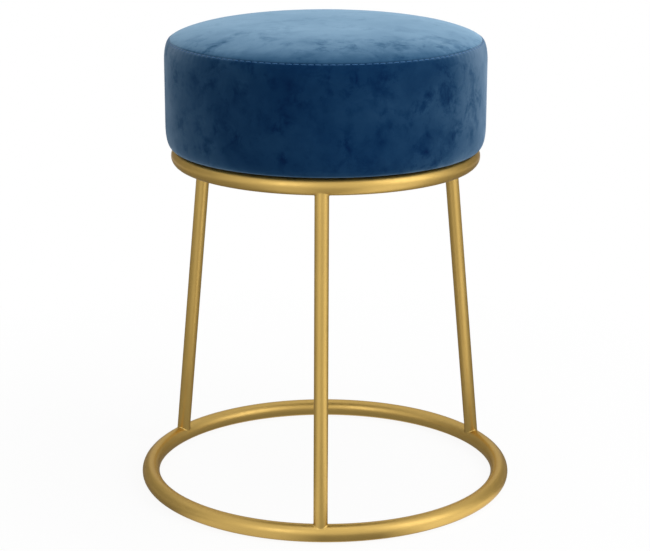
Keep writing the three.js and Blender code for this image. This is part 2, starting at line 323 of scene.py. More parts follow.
def rod(name, radius, bottom, top, sides, across=0.0):
    """An upright rod whose foot stands in front of the axis by the given distance."""
    deselect_all()
    bpy.ops.mesh.primitive_circle_add(
        vertices=sides, radius=radius, fill_type="NGON", location=(0, -across, bottom)
    )
    piece = named(name)
    edit_all()
    bpy.ops.mesh.extrude_region_move(TRANSFORM_OT_translate={"value": (0, 0, top - bottom)})
    bpy.ops.object.mode_set(mode="OBJECT")
    settle(piece)
    return closed_up(piece)


def ring_bar(name, centre_radius, centre_height, tube_radius, sides, steps):
    """A round bar bent to a ring: a circle that stands in front of the axis and is spun about it."""
    deselect_all()
    bpy.ops.mesh.primitive_circle_add(
        vertices=sides,
        radius=tube_radius,
        location=(0, -centre_radius, centre_height),
        rotation=(math.pi / 2, 0, math.pi / 2),
    )
    piece = named(name)
    edit_all()
    bpy.ops.mesh.spin(
        steps=steps, angle=FULL_TURN, center=(0, 0, 0), axis=(0, 0, 1), use_auto_merge=False
    )
    bpy.ops.object.mode_set(mode="OBJECT")
    settle(piece)
    return closed_up(piece, math.pi)


def finished(piece, material, slot, *nodes):
    """Gives a piece its material and its body, and hides the nodes that it stands for. The slot is not
    used.
    """
    piece.data.materials.clear()
    piece.data.materials.append(material)
    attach(piece, "root")
    if nodes:
        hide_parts(*nodes)
    return piece


# Materials


def add_node(tree, kind, inputs=None, **settings):
    """Adds a node, sets it, and links or sets its inputs."""
    made = tree.nodes.new(kind)
    for name, value in settings.items():
        setattr(made, name, value)
    for name, value in (inputs or {}).items():
        if isinstance(value, bpy.types.NodeSocket):
            tree.links.new(value, made.inputs[name])
        else:
            made.inputs[name].default_value = value
    return made


def mixed(tree, factor, first, second):
    """Two colours, or linked colours, mixed by a linked factor."""
    made = add_node(tree, "ShaderNodeMix", data_type="RGBA")
    tree.links.new(factor, made.inputs[0])
    for socket, value in ((made.inputs[6], first), (made.inputs[7], second)):
        if isinstance(value, bpy.types.NodeSocket):
            tree.links.new(value, socket)
        else:
            socket.default_value = (*value, 1)
    return made.outputs[2]


def noise(tree, place, scale, detail=3.0, roughness=0.55, distortion=0.0):
    inputs = {
        "Vector": place,
        "Scale": scale,
        "Detail": detail,
        "Roughness": roughness,
        "Distortion": distortion,
    }
    return add_node(tree, "ShaderNodeTexNoise", inputs).outputs["Fac"]


def ranged(tree, value, low, high, to_low=0.0, to_high=1.0, way="LINEAR"):
    """A linked value stretched from one range to another, and held inside it."""
    inputs = {"Value": value, "From Min": low, "From Max": high, "To Min": to_low, "To Max": to_high}
    made = add_node(tree, "ShaderNodeMapRange", inputs, interpolation_type=way)
    return made.outputs["Result"]


def reckoned(tree, operation, first, second):
    made = add_node(tree, "ShaderNodeMath", operation=operation)
    for socket, value in zip(made.inputs, (first, second)):
        if isinstance(value, bpy.types.NodeSocket):
            tree.links.new(value, socket)
        else:
            socket.default_value = value
    return made.outputs[0]


def curved(tree, value, points):
    """A linked value led through a smooth curve that passes through the points."""
    made = add_node(tree, "ShaderNodeFloatCurve", {"Value": value})
    curve = made.mapping.curves[0]
    curve.points[0].location = points[0]
    curve.points[-1].location = points[-1]
    for point in points[1:-1]:
        curve.points.new(*point)
    made.mapping.update()
    return made.outputs[0]


def by_eye(tree, factor, first, second):
    """Two colours mixed so that halfway looks halfway to the eye."""
    ends = [Vector([part ** (1 / 2.2) for part in colour_in]) for colour_in in (first, second)]
    blend = mixed(tree, factor, *ends)
    return add_node(tree, "ShaderNodeGamma", {"Color": blend, "Gamma": 2.2}).outputs[0]


def bumped(tree, height, distance, strength, under=None):
    """The normal of a surface raised by the height, over another bump where one is given."""
    inputs = {"Height": height, "Distance": distance, "Strength": strength}
    if under is not None:
        inputs["Normal"] = under
    return add_node(tree, "ShaderNodeBump", inputs).outputs["Normal"]


def new_material(name, roughness, metallic=0.0):
    made = bpy.data.materials.new(name)
    made.use_nodes = True
    tree = made.node_tree
    shader = tree.nodes["Principled BSDF"]
    shader.inputs["Roughness"].default_value = roughness
    shader.inputs["Metallic"].default_value = metallic
    place = add_node(tree, "ShaderNodeTexCoord").outputs["Object"]
    return made, tree, shader, place


def satin_gold():
    look = bpy.context.scene.stool_frame
    made, tree, shader, place = new_material("satin_gold", look.gold_gloss, 1.0)
    base = Vector(look.gold)
    cloud = ranged(tree, noise(tree, place, 9, 3), 0.35, 0.65)
    colour_out = mixed(tree, cloud, base * 0.96, base * 1.04)
    tree.links.new(colour_out, shader.inputs["Base Color"])
    haze = noise(tree, place, 130, 5, 0.7)
    gloss = ranged(tree, haze, 0.3, 0.7, look.gold_gloss - 0.06, look.gold_gloss + 0.06)
    tree.links.new(gloss, shader.inputs["Roughness"])
    peel = bumped(tree, noise(tree, place, 700, 2), 0.05 * MM, 0.25)
    wave = bumped(tree, noise(tree, place, 45, 1), 0.3 * MM, 0.15, peel)
    tree.links.new(wave, shader.inputs["Normal"])
    shader.inputs["Specular Tint"].default_value = (*look.gold_edge, 1)
    shader.inputs["Coat Weight"].default_value = 0.45
    shader.inputs["Coat Roughness"].default_value = 0.3
    return made


def zinc_plating():
    look = bpy.context.scene.stool_fixings
    made, tree, shader, place = new_material("zinc_plating", 0.32, 1.0)
    base = Vector(look.zinc)
    patches = add_node(tree, "ShaderNodeTexVoronoi", {"Vector": place, "Scale": 650.0})
    tone = ranged(tree, patches.outputs["Distance"], 0.0, 0.9)
    tree.links.new(mixed(tree, tone, base * 0.86, base * 1.05), shader.inputs["Base Color"])
    gloss = ranged(tree, noise(tree, place, 320, 3), 0.3, 0.7, 0.24, 0.42)
    tree.links.new(gloss, shader.inputs["Roughness"])
    grain = bumped(tree, noise(tree, place, 1500, 2), 0.02 * MM, 0.4)
    tree.links.new(grain, shader.inputs["Normal"])
    return made


def velvet_pile(name, shift, tones, sheen_colour, brushing, shoulder=None):
    """Short pile with painted sheen: deep where it is seen from above and painted pale where it is seen
    from the side, with soft clouds and, here and there, ruffled patches of small dark strokes."""
    look = bpy.context.scene.stool_cushion
    made, tree, shader, place = new_material(name, 0.92)
    moved = add_node(tree, "ShaderNodeMapping", {"Vector": place, "Location": shift}).outputs[0]
    clouds = noise(tree, moved, 15, 7, 0.62, 0.25)
    strokes = noise(tree, moved, 50, 8, 0.68, 0.3)
    ruffled = ranged(tree, noise(tree, moved, 19, 3, 0.6, 0.4), 0.44, 0.6, 0.15, 1.0)
    dark = reckoned(tree, "MULTIPLY", ranged(tree, strokes, 0.47, 0.72), ruffled)
    uneven = ranged(tree, clouds, 0.32, 0.68, -0.1, 0.2)
    uneven = reckoned(tree, "SUBTRACT", uneven, reckoned(tree, "MULTIPLY", dark, 0.5))
    # Painted sheen: the colour is painted paler as the surface turns away from the eye
    facing = add_node(tree, "ShaderNodeLayerWeight", {"Blend": 0.5}).outputs["Facing"]
    uneven = reckoned(tree, "MULTIPLY", uneven, curved(tree, facing, brushing))
    tone = reckoned(tree, "ADD", curved(tree, facing, tones), uneven)
    # Painted light: near the seam the band's up-facing shoulder is painted paler
    if shoulder:
        height = add_node(tree, "ShaderNodeSeparateXYZ", {"Vector": place}).outputs["Z"]
        near_seam = ranged(tree, height, seam_place()[1] - 22 * MM, seam_place()[1] - 4 * MM)
        painted_lift = curved(tree, facing, shoulder)
        tone = reckoned(tree, "ADD", tone, reckoned(tree, "MULTIPLY", near_seam, painted_lift))
    # The deep velvet colour is mixed towards the painted sheen colour by the tone
    tree.links.new(by_eye(tree, tone, look.velvet, sheen_colour), shader.inputs["Base Color"])
    shader.inputs["Specular IOR Level"].default_value = 0.08
    shader.inputs["Sheen Weight"].default_value = 0.15
    shader.inputs["Sheen Roughness"].default_value = 0.35
    shader.inputs["Sheen Tint"].default_value = (*linear(120, 165, 205), 1)
    hair = bumped(tree, noise(tree, moved, 2400, 2), 0.12 * MM, 0.5)
    nap = bumped(tree, clouds, 1.2 * MM, 0.3, hair)
    tree.links.new(nap, shader.inputs["Normal"])
    return made


def sewing_thread():
    look = bpy.context.scene.stool_cushion
    made, tree, shader, place = new_material("sewing_thread", 0.6)
    base = Vector(look.thread)
    twist_and_groove_shade = add_node(
        tree, "ShaderNodeTexWave", {"Vector": place, "Scale": 900.0, "Distortion": 1.5}
    ).outputs["Fac"]
    # Painted shade: the thread is painted darker in the grooves of its twist, where the bump sinks it
    tree.links.new(mixed(tree, twist_and_groove_shade, base * 0.75, base * 1.15), shader.inputs["Base Color"])
    shader.inputs["Sheen Weight"].default_value = 0.1
    shader.inputs["Specular IOR Level"].default_value = 0.2
    tree.links.new(bumped(tree, twist_and_groove_shade, 0.08 * MM, 0.5), shader.inputs["Normal"])
    return made


def seat_foam():
    look = bpy.context.scene.stool_cushion
    made, tree, shader, place = new_material("seat_foam", 0.95)
    base = Vector(look.foam)
    cells = add_node(tree, "ShaderNodeTexVoronoi", {"Vector": place, "Scale": 900.0})
    hollow_and_shade = cells.outputs["Distance"]
    # Painted shade: each foam cell is painted darker towards the middle of its hollow, where the bump
    # sinks it
    tree.links.new(mixed(tree, hollow_and_shade, base * 0.7, base), shader.inputs["Base Color"])
    tree.links.new(bumped(tree, hollow_and_shade, 0.6 * MM, 0.7), shader.inputs["Normal"])
    return made


def dust_cloth():
    look = bpy.context.scene.stool_cushion
    made, tree, shader, place = new_material("dust_cloth", 0.88)
    base = Vector(look.cloth)
    fibres = noise(tree, place, 900, 5, 0.7, 2.0)
    tree.links.new(mixed(tree, fibres, base * 0.6, base * 1.9), shader.inputs["Base Color"])
    bonds = add_node(
        tree, "ShaderNodeTexVoronoi", {"Vector": place, "Scale": 420.0, "Randomness": 0.1}
    ).outputs["Distance"]
    pressed = ranged(tree, bonds, 0.1, 0.35)
    fuzz = bumped(tree, fibres, 0.1 * MM, 0.5)
    tree.links.new(bumped(tree, pressed, 0.15 * MM, 0.6, fuzz), shader.inputs["Normal"])
    return made


def birch_plywood():
    look = bpy.context.scene.stool_cushion
    made, tree, shader, place = new_material("birch_plywood", 0.7)
    base = Vector(look.wood)
    stretch = add_node(tree, "ShaderNodeMapping", {"Vector": place, "Scale": (14.0, 160.0, 60.0)})
    grain = noise(tree, stretch.outputs["Vector"], 1.0, 5, 0.6, 1.2)
    height = add_node(tree, "ShaderNodeSeparateXYZ", {"Vector": place}).outputs["Z"]
    plies = reckoned(tree, "PINGPONG", height, 1.5 * MM)
    dark_ply = ranged(tree, plies, 0.6 * MM, 0.9 * MM)
    faces = mixed(tree, grain, base * 0.78, base * 1.08)
    tree.links.new(mixed(tree, dark_ply, faces, base * 0.72), shader.inputs["Base Color"])
    tree.links.new(bumped(tree, grain, 0.2 * MM, 0.3), shader.inputs["Normal"])
    return made


def material(name, maker):
    """The material of that name, made the first time that a piece asks for it."""
    return bpy.data.materials.get(name) or maker()


# The welded frame

leg_foot = Vector((0, -lower_ring_radius, lower_ring_height))
leg_head = Vector((0, -upper_ring_radius, upper_ring_height))


def ring_piece(name, centre_radius, centre_height, node):
    sizes = bpy.context.scene.stool_frame
    piece = ring_bar(
        name, centre_radius, centre_height, ring_tube, sizes.ring_sides, sizes.ring_steps
    )
    return finished(piece, material("satin_gold", satin_gold), "gold_tube", node)


def leg_tube(name):
    """A circle set square to the leg's line at its foot, drawn out to its head, walled and coped."""
    sizes = bpy.context.scene.stool_frame
    along = leg_head - leg_foot
    square = along.to_track_quat("Z", "Y").to_euler()
    deselect_all()
    bpy.ops.mesh.primitive_circle_add(
        vertices=sizes.leg_sides, radius=sizes.leg_radius, location=leg_foot, rotation=square
    )
    piece = named(name)
    edit_all()
    bpy.ops.mesh.extrude_region_move(TRANSFORM_OT_translate={"value": along})
    bpy.ops.mesh.select_all(action="SELECT")
    bpy.ops.mesh.normals_make_consistent(inside=False)
    bpy.ops.object.mode_set(mode="OBJECT")
    settle(piece)
    apply_modifier(piece, "SOLIDIFY", thickness=sizes.leg_wall, offset=-1)
    for radius, height in (
        (lower_ring_radius, lower_ring_height),
        (upper_ring_radius, upper_ring_height),
    ):
        bar = ring_bar("cope", radius, height, ring_tube, sizes.ring_sides, sizes.ring_steps)
        cut(piece, bar)
    return closed_up(piece)


def nearest_on_ring(point, centre_radius, centre_height):
    """The point of the ring's middle line that is nearest to a point."""
    flat = Vector((point.x, point.y, 0)).normalized() * centre_radius
    return Vector((flat.x, flat.y, centre_height))


def weld_bead(name, start, end, centre_radius, centre_height):
    """The bead where a leg meets a ring, laid from the ring's surface up the leg's side."""
    sizes = bpy.context.scene.stool_frame
    along = (end - start).normalized()
    side = along.cross(Vector((1, 0, 0))).normalized()
    other = along.cross(side)
    major, minor, ripples = 72, 8, 23
    deselect_all()
    bpy.ops.mesh.primitive_torus_add(
        major_segments=major, minor_segments=minor, major_radius=0.01, minor_radius=0.002
    )
    piece = named(name)
    for i in range(major):
        turn = i / major * FULL_TURN
        out = side * math.cos(turn) + other * math.sin(turn)
        low, high = 0.0, 2 * ring_tube
        for _ in range(40):
            middle = (low + high) / 2
            point = start + out * sizes.leg_radius + along * middle
            away = (point - nearest_on_ring(point, centre_radius, centre_height)).length
            low, high = (middle, high) if away < ring_tube else (low, middle)
        crevice = start + out * sizes.leg_radius + along * low
        core = nearest_on_ring(crevice, centre_radius, centre_height)
        normal = (crevice - core).normalized()
        ripple = 1 + sizes.weld_ripple * math.sin(ripples * turn)
        width = sizes.weld_width * ripple
        foot = crevice + (out - normal * out.dot(normal)).normalized() * width
        core = nearest_on_ring(foot, centre_radius, centre_height)
        foot = core + (foot - core).normalized() * (ring_tube - 0.04 * MM)
        head = crevice + along * width - out * 0.04 * MM
        crown = crevice.lerp((foot + head) / 2, 0.25)
        for j in range(minor):
            if j == minor - 1:
                place = crevice - (out + normal).normalized() * 0.7 * MM
            else:
                t = j / (minor - 2)
                place = foot.lerp(crown, t).lerp(crown.lerp(head, t), t)
            piece.data.vertices[i * minor + j].co = place
    return closed_up(piece, math.radians(60))


# Fixings


def tab_plate(name):
    """A flat bar drawn round its inner end, given its thickness, drilled and coped to the ring."""
    sizes = bpy.context.scene.stool_fixings
    tube = bpy.context.scene.stool_frame
    half = sizes.tab_width / 2
    bottom, top = tab_low.z, tab_high.z
    arc = [i / 24 * math.pi for i in range(25)]
    points = [Vector((half, -upper_ring_radius, bottom))]
    for turn in arc:
        points.append(
            Vector((half * math.cos(turn), half * math.sin(turn) - fixing_radius, bottom))
        )
    points.append(Vector((-half, -upper_ring_radius, bottom)))
    piece = drawn(name, points)
    edit_all()
    bpy.ops.mesh.edge_face_add()
    bpy.ops.mesh.extrude_region_move(TRANSFORM_OT_translate={"value": (0, 0, top - bottom)})
    closed_up(piece)
    apply_modifier(
        piece,
        "BEVEL",
        width=sizes.tab_edge,
        segments=2,
        limit_method="ANGLE",
        angle_limit=math.radians(40),
    )
    over = 1 * MM
    cut(piece, rod("drill", sizes.tab_hole, bottom - over, top + over, 40, fixing_radius))
    bar = ring_bar(
        "cope", upper_ring_radius, upper_ring_height, ring_tube, tube.ring_sides, tube.ring_steps
    )
    cut(piece, bar)
    return closed_up(piece)


def tab_weld(name):
    """A short bead under a tab, along the inside of the ring."""
    sizes = bpy.context.scene.stool_fixings
    drop = tab_low.z - upper_ring_height
    reach = upper_ring_radius - math.sqrt(ring_tube**2 - drop**2)
    arc = (sizes.tab_width - 4 * MM) / reach
    deselect_all()
    bpy.ops.mesh.primitive_circle_add(
        vertices=12,
        radius=1.7 * MM,
        fill_type="NGON",
        location=(0, -reach - 0.3 * MM, tab_low.z - 0.2 * MM),
        rotation=(math.pi / 2, 0, math.pi / 2),
    )
    piece = named(name)
    settle(piece)
    piece.rotation_euler.z = arc / 2
    settle(piece)
    edit_all()
    bpy.ops.mesh.spin(
        steps=22, angle=arc, center=(0, 0, 0), axis=(0, 0, 1), use_auto_merge=False
    )
    bpy.ops.object.mode_set(mode="OBJECT")
    middle = Vector((0, -reach, tab_low.z))
    for vertex in piece.data.vertices:
        turn = math.atan2(vertex.co.x, -vertex.co.y)
        place = Vector((math.sin(turn) * reach, -math.cos(turn) * reach, middle.z))
        taper = 1 - 0.55 * abs(turn / (arc / 2)) ** 6
        ripple = 1 + 0.06 * math.sin(turn * reach / (0.35 * MM))
        vertex.co = place + (vertex.co - place) * taper * ripple
    return closed_up(piece, math.radians(60))


def domed_screw(name):
    sizes = bpy.context.scene.stool_fixings
    head_top = screw_low.z + sizes.head_height
    dome = [(0, screw_low.z)]
    for i in range(1, 9):
        turn = i / 8 * math.pi / 2
        rise = (sizes.head_height - sizes.head_rim) * math.cos(turn)
        dome.append((sizes.head_radius * math.sin(turn), head_top - sizes.head_rim - rise))
    chamfer = 0.6 * MM
    shank = [
        (sizes.head_radius, head_top),
        (sizes.shank_radius, head_top),
        (sizes.shank_radius, screw_high.z - chamfer),
        (sizes.shank_radius - chamfer, screw_high.z),
        (0, screw_high.z),
    ]
    piece = spun(name, dome + shank, 48)
    corner = sizes.socket_width / 2 / math.cos(math.pi / 6)
    socket_top = screw_low.z + sizes.socket_depth
    cut(piece, rod("socket", corner, screw_low.z - 1 * MM, socket_top, 6))
    piece.location.y = -fixing_radius
    settle(piece)
    return closed_up(piece, math.radians(30))


def flat_washer(name):
    sizes = bpy.context.scene.stool_fixings
    chamfer = 0.25 * MM
    bottom, top = washer_low.z, washer_high.z
    bore, edge = sizes.washer_bore, sizes.washer_radius
    outline = [
        (bore, bottom),
        (edge - chamfer, bottom),
        (edge, bottom + chamfer),
        (edge, top - chamfer),
        (edge - chamfer, top),
        (bore, top),
        (bore, bottom),
    ]
    piece = spun(name, outline, 48)
    piece.location.y = -fixing_radius
    settle(piece)
    return closed_up(piece, math.radians(30))


def staple_wire(name):
    """The crown and legs of a staple, drawn upright in front of the axis, with round corners."""
    sizes = bpy.context.scene.stool_fixings
    wire = sizes.wire_thickness
    node_low, node_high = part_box(STAPLES[0])
    bottom, top = node_low.z, node_high.z
    turned = STAPLE_TURN / 2
    centre = (node_low + node_high) / 2
    radius = math.hypot(centre.x, centre.y)
    half = 5.5 * MM
    bend = 1.1 * MM
    outer, inner = [], []
    for i in range(5):
        turn = i / 4 * math.pi / 2
        swing = Vector((math.sin(turn), 0, -math.cos(turn)))
        hub = Vector((half - bend, -radius, bottom + bend))
        outer.append(hub + swing * bend)
        inner.append(hub + swing * (bend - wire))
    right = outer + [Vector((half, -radius, top - 1.2 * MM))]
    right += [Vector((half - wire, -radius, top))] + inner[::-1]
    left = [Vector((-p.x, p.y, p.z)) for p in right[::-1]]
    piece = drawn(name, right + left)
    edit_all()
    bpy.ops.mesh.edge_face_add()
    bpy.ops.transform.translate(value=(0, -sizes.wire_width / 2, 0))
    bpy.ops.mesh.extrude_region_move(
        TRANSFORM_OT_translate={"value": (0, sizes.wire_width, 0)}
    )
    closed_up(piece)
    apply_modifier(
        piece,
        "BEVEL",
        width=0.14 * MM,
        segments=1,
        limit_method="ANGLE",
        angle_limit=math.radians(50),
    )
    return closed_up(piece)


# The cushion


def respaced(curve, spacing):
    """Points along a curve of (radius, height), as far apart as the spacing says at each point."""
    points = [Vector(p) for p in curve]
    lengths = [0.0]
    for start, end in zip(points, points[1:]):
        lengths.append(lengths[-1] + (end - start).length)

    def point_at(distance):
        i = min(max(int(np.searchsorted(lengths, distance)), 1), len(points) - 1)
        t = (distance - lengths[i - 1]) / max(lengths[i] - lengths[i - 1], 1e-9)
        return points[i - 1].lerp(points[i], min(max(t, 0), 1))

    distances = [0.0]
    while distances[-1] < lengths[-1]:
        distances.append(distances[-1] + spacing(point_at(distances[-1])))
    stretch = lengths[-1] / distances[-1]
    return [tuple(point_at(d * stretch)) for d in distances]


def seam_place():
    """Radius and height of the seam between the band and the top panel."""
    sizes = bpy.context.scene.stool_cushion
    return band_radius - sizes.seam_inset, band_top - sizes.seam_drop


def stitch_place():
    """Radius and height of the topstitching, on the band just under the seam."""
    sizes = bpy.context.scene.stool_cushion
    edge, seam = seam_place()
    rise = (1 - sizes.stitch_drop / sizes.shoulder_depth) ** (sizes.shoulder_power / 2)
    out = math.sqrt(1 - rise**2) ** (2 / sizes.shoulder_power)
    return edge + sizes.seam_inset * out, seam - sizes.stitch_drop


def band_curve():
    """Outside of the band: the hem, the fold, the flank, the side, the shoulder, and the edge
    that turns down into the seam."""
    sizes = bpy.context.scene.stool_cushion
    power = 2 / sizes.flank_power
    fold = sizes.fold_radius
    curve = [(fold - sizes.hem_width, hem_low)]
    spans = 200
    for i in range(spans + 1):
        turn = (i / spans) ** 1.5 * math.pi / 2
        out = max(math.sin(turn), 0) ** power
        rise = 1 - max(math.cos(turn), 0) ** power
        curve.append((fold + (band_radius - fold) * out, hem_low + sizes.flank_depth * rise))
    edge, seam = seam_place()
    shoulder = seam - sizes.shoulder_depth
    power = 2 / sizes.shoulder_power
    for i in range(spans + 1):
        turn = i / spans * math.radians(86)
        out = sizes.seam_inset * math.cos(turn) ** power
        rise = sizes.shoulder_depth * math.sin(turn) ** power
        curve.append((edge + out, shoulder + rise))
    edge, height = curve[-1]
    for i in range(1, 7):
        turn = i / 6 * math.radians(120)
        curve.append(
            (edge - 0.9 * MM * math.sin(turn), height - 0.9 * MM * (1 - math.cos(turn)))
        )
    return curve


def top_curve():
    """Outside of the top panel: from its edge in the seam, up and in to the middle."""
    sizes = bpy.context.scene.stool_cushion
    edge, base = seam_place()
    curve = [(edge - 2.2 * MM, base - 1.5 * MM), (edge - 1.2 * MM, base - 1.3 * MM)]
    curve.append((edge - 0.4 * MM, base - 0.8 * MM))
    spans = 400
    for i in range(spans):
        turn = i / spans * math.pi / 2
        out = math.cos(turn) ** (2 / sizes.crown_power)
        rise = math.sin(turn) ** (2 / sizes.crown_edge_power)
        curve.append((edge * out, base + sizes.crown_rise * rise))
    curve.append((0.0, base + sizes.crown_rise))
    return curve


def normals_along(outline):
    """Outward normals of an outline that runs with its inside on its left."""
    points = np.array(outline)
    ahead = np.roll(points, -1, 0) - np.roll(points, 1, 0)
    ahead[0] = points[1] - points[0]
    ahead[-1] = points[-1] - points[-2]
    ahead /= np.linalg.norm(ahead, axis=1)[:, None]
    return np.stack([ahead[:, 1], -ahead[:, 0]], 1)


def pushed(piece, outline, change):
    """Moves a spun piece's corners along its outline's normal, by a change that is worked out from
    the row of the outline and from the angle round from the front."""
    places = np.empty(len(piece.data.vertices) * 3)
    piece.data.vertices.foreach_get("co", places)
    places = places.reshape(-1, 3)
    radius = np.hypot(places[:, 0], places[:, 1])
    turn = np.arctan2(places[:, 0], -places[:, 1])
    points = np.array(outline)
    flat = np.stack([radius, places[:, 2]], 1)
    rows = np.concatenate(
        [
            np.argmin(((part[:, None] - points[None]) ** 2).sum(2), 1)
            for part in np.array_split(flat, 40)
        ]
    )
    normal = normals_along(outline)[rows]
    amount = change(rows, turn)
    radius = radius + normal[:, 0] * amount
    places[:, 0] = radius * np.sin(turn)
    places[:, 1] = -radius * np.cos(turn)
    places[:, 2] += normal[:, 1] * amount
    piece.data.vertices.foreach_set("co", places.ravel())
    piece.data.update()
    return piece


def sewn(points, turn):
    """How far the topstitching pulls the velvet in, and the small folds that it makes."""
    sizes = bpy.context.scene.stool_cushion
    radius, height = stitch_place()
    away = np.hypot(points[:, 0] - radius, points[:, 1] - height)
    hole = 0.5 + 0.5 * np.cos(turn * sizes.stitches)
    groove = -sizes.groove * np.exp(-((away / (0.9 * MM)) ** 2)) * (0.55 + 0.45 * hole**3)
    folds = sizes.pucker * (hole - 0.5) * np.exp(-away / (4.5 * MM))
    return groove - folds


def closing_seam(turn):
    """The upright seam where the band's ends are sewn together, at the back."""
    across = (math.pi - np.abs(turn)) * band_radius
    return -0.55 * MM * np.exp(-((across / (1.9 * MM)) ** 2))


def swollen_form():
    """A drum a little smaller than the cover, blown up as cloth that is held at the seam and
    underneath. It gives the cover its uneven fullness."""
    sizes = bpy.context.scene.stool_cushion
    inset = 2.4 * MM
    outline = respaced(band_curve() + top_curve()[3:], lambda p: 5 * MM)
    rows = [
        (max(r + n[0] * -inset, 0.0), z - n[1] * inset)
        for (r, z), n in zip(outline, normals_along(outline))
    ]
    rows[-1] = (0.0, rows[-1][1])
    form = spun("cushion_form", [(0.0, rows[0][1])] + rows, 96)
    pick(form)
    form.data.remesh_voxel_size = 5 * MM
    bpy.ops.object.voxel_remesh()
    held = form.vertex_groups.new(name="held")
    seam = Vector(seam_place())
    for vertex in form.data.vertices:
        place = Vector((math.hypot(vertex.co.x, vertex.co.y), vertex.co.z))
        near_seam = (place - seam).length < 6 * MM
        if near_seam or vertex.co.z < hem_low + 8 * MM:
            held.add([vertex.index], 1.0, "REPLACE")
    modifier = form.modifiers.new("Cloth", "CLOTH")
    cloth = modifier.settings
    cloth.vertex_group_mass = "held"
    cloth.use_pressure = True
    cloth.uniform_pressure_force = 4.0
    cloth.effector_weights.gravity = 0.0
    cloth.tension_stiffness = 12
    cloth.bending_stiffness = 0.4
    modifier.point_cache.frame_start = 1
    modifier.point_cache.frame_end = 20
    for step in range(1, 21):
        bpy.context.scene.frame_set(step)
    pick(form)
    bpy.ops.object.modifier_apply(modifier=modifier.name)
    bpy.context.scene.frame_set(1)
    return form


def fullness(form, outline):
    """How far the swollen form stands out from each point, against the mean at that height, with
    the most that a point may move held to a cap."""
    tree = BVHTree.FromPolygons(
        [v.co.copy() for v in form.data.vertices], [tuple(p.vertices) for p in form.data.polygons]
    )
    normals = normals_along(outline)
    steps = 96
    cap = 0.8 * MM
    table = np.zeros((len(outline), steps))
    for i, (radius, height) in enumerate(outline):
        for j in range(steps):
            turn = (j / steps - 0.5) * FULL_TURN
            ahead = Vector((math.sin(turn), -math.cos(turn), 0))
            way = ahead * normals[i][0] + Vector((0, 0, normals[i][1]))
            start = ahead * radius + Vector((0, 0, height)) - way * 12 * MM
            hit = tree.ray_cast(start, way, 40 * MM)
            table[i, j] = hit[3] - 12 * MM if hit[0] else 0.0
    table -= table.mean(1, keepdims=True)
    for _ in range(2):
        table = (np.roll(table, 1, 1) + table * 2 + np.roll(table, -1, 1)) / 4
        padded = np.pad(table, ((1, 1), (0, 0)), mode="edge")
        table = (padded[:-2] + padded[1:-1] * 2 + padded[2:]) / 4
    return np.clip(table * 1.0, -cap, cap)


def cover_piece(name, curve, spacing, seam, form, *nodes):
    """One panel of the cover: spun, filled out, sewn and given its thickness."""
    sizes = bpy.context.scene.stool_cushion
    outline = respaced(curve, spacing)
    piece = spun(name, outline, sizes.stitches * 4, 29)
    bulge = fullness(form, outline) if form else np.zeros((len(outline), 96))
    radius, height = stitch_place()

    def change(rows, turn):
        points = np.array(outline)[rows]
        column = (turn / FULL_TURN + 0.5) * 96
        first = np.floor(column).astype(int) % 96
        part = column - np.floor(column)
        full = bulge[rows, first] * (1 - part) + bulge[rows, (first + 1) % 96] * part
        away = np.hypot(points[:, 0] - radius, points[:, 1] - height)
        free = np.clip(away / (12 * MM), 0, 1) * np.clip((points[:, 1] - hem_low) / (15 * MM), 0, 1)
        return full * free + sewn(points, turn) + seam(points, turn)

    pushed(piece, outline, change)
    apply_modifier(piece, "SOLIDIFY", thickness=sizes.velvet_thickness, offset=-1)
    pick(piece)
    bpy.ops.object.shade_smooth_by_angle(angle=math.radians(70))
    return piece


def stitch_row(name):
    """Every stitch is the same short thread, which dips into the velvet at both ends."""
    sizes = bpy.context.scene.stool_cushion
    radius, height = stitch_place()
    pitch = FULL_TURN / sizes.stitches
    half = sizes.stitch_share * pitch * radius / 2
    deselect_all()
    bpy.ops.mesh.primitive_circle_add(
        vertices=6,
        radius=sizes.thread_width / 2,
        fill_type="NGON",
        location=(-half, -radius, height),
        rotation=(0, math.pi / 2, 0),
    )
    piece = named(name)
    settle(piece)
    edit_all()
    spans = 6
    for _ in range(spans):
        bpy.ops.mesh.extrude_region_move(
            TRANSFORM_OT_translate={"value": (2 * half / spans, 0, 0)}
        )
    bpy.ops.object.mode_set(mode="OBJECT")
    slope = Vector((0, -math.cos(math.radians(20)), math.sin(math.radians(20))))
    for vertex in piece.data.vertices:
        t = vertex.co.x / half
        middle = Vector((vertex.co.x, -radius, height))
        slim = 1 - 0.45 * abs(t) ** 3
        drop = -0.18 * MM - 0.42 * MM * abs(t) ** 3
        vertex.co = middle + (vertex.co - middle) * slim + slope * drop
        turn = vertex.co.x / radius
        out = -vertex.co.y
        vertex.co.x = out * math.sin(turn)
        vertex.co.y = -out * math.cos(turn)
    closed_up(piece, math.pi)
    piece.rotation_euler.z = pitch / 2
    settle(piece)
    bpy.ops.object.empty_add(location=(0, 0, 0), rotation=(0, 0, pitch))
    turned = bpy.context.object
    apply_modifier(
        piece,
        "ARRAY",
        count=sizes.stitches,
        use_relative_offset=False,
        use_object_offset=True,
        offset_object=turned,
    )
    bpy.data.objects.remove(turned)
    return piece


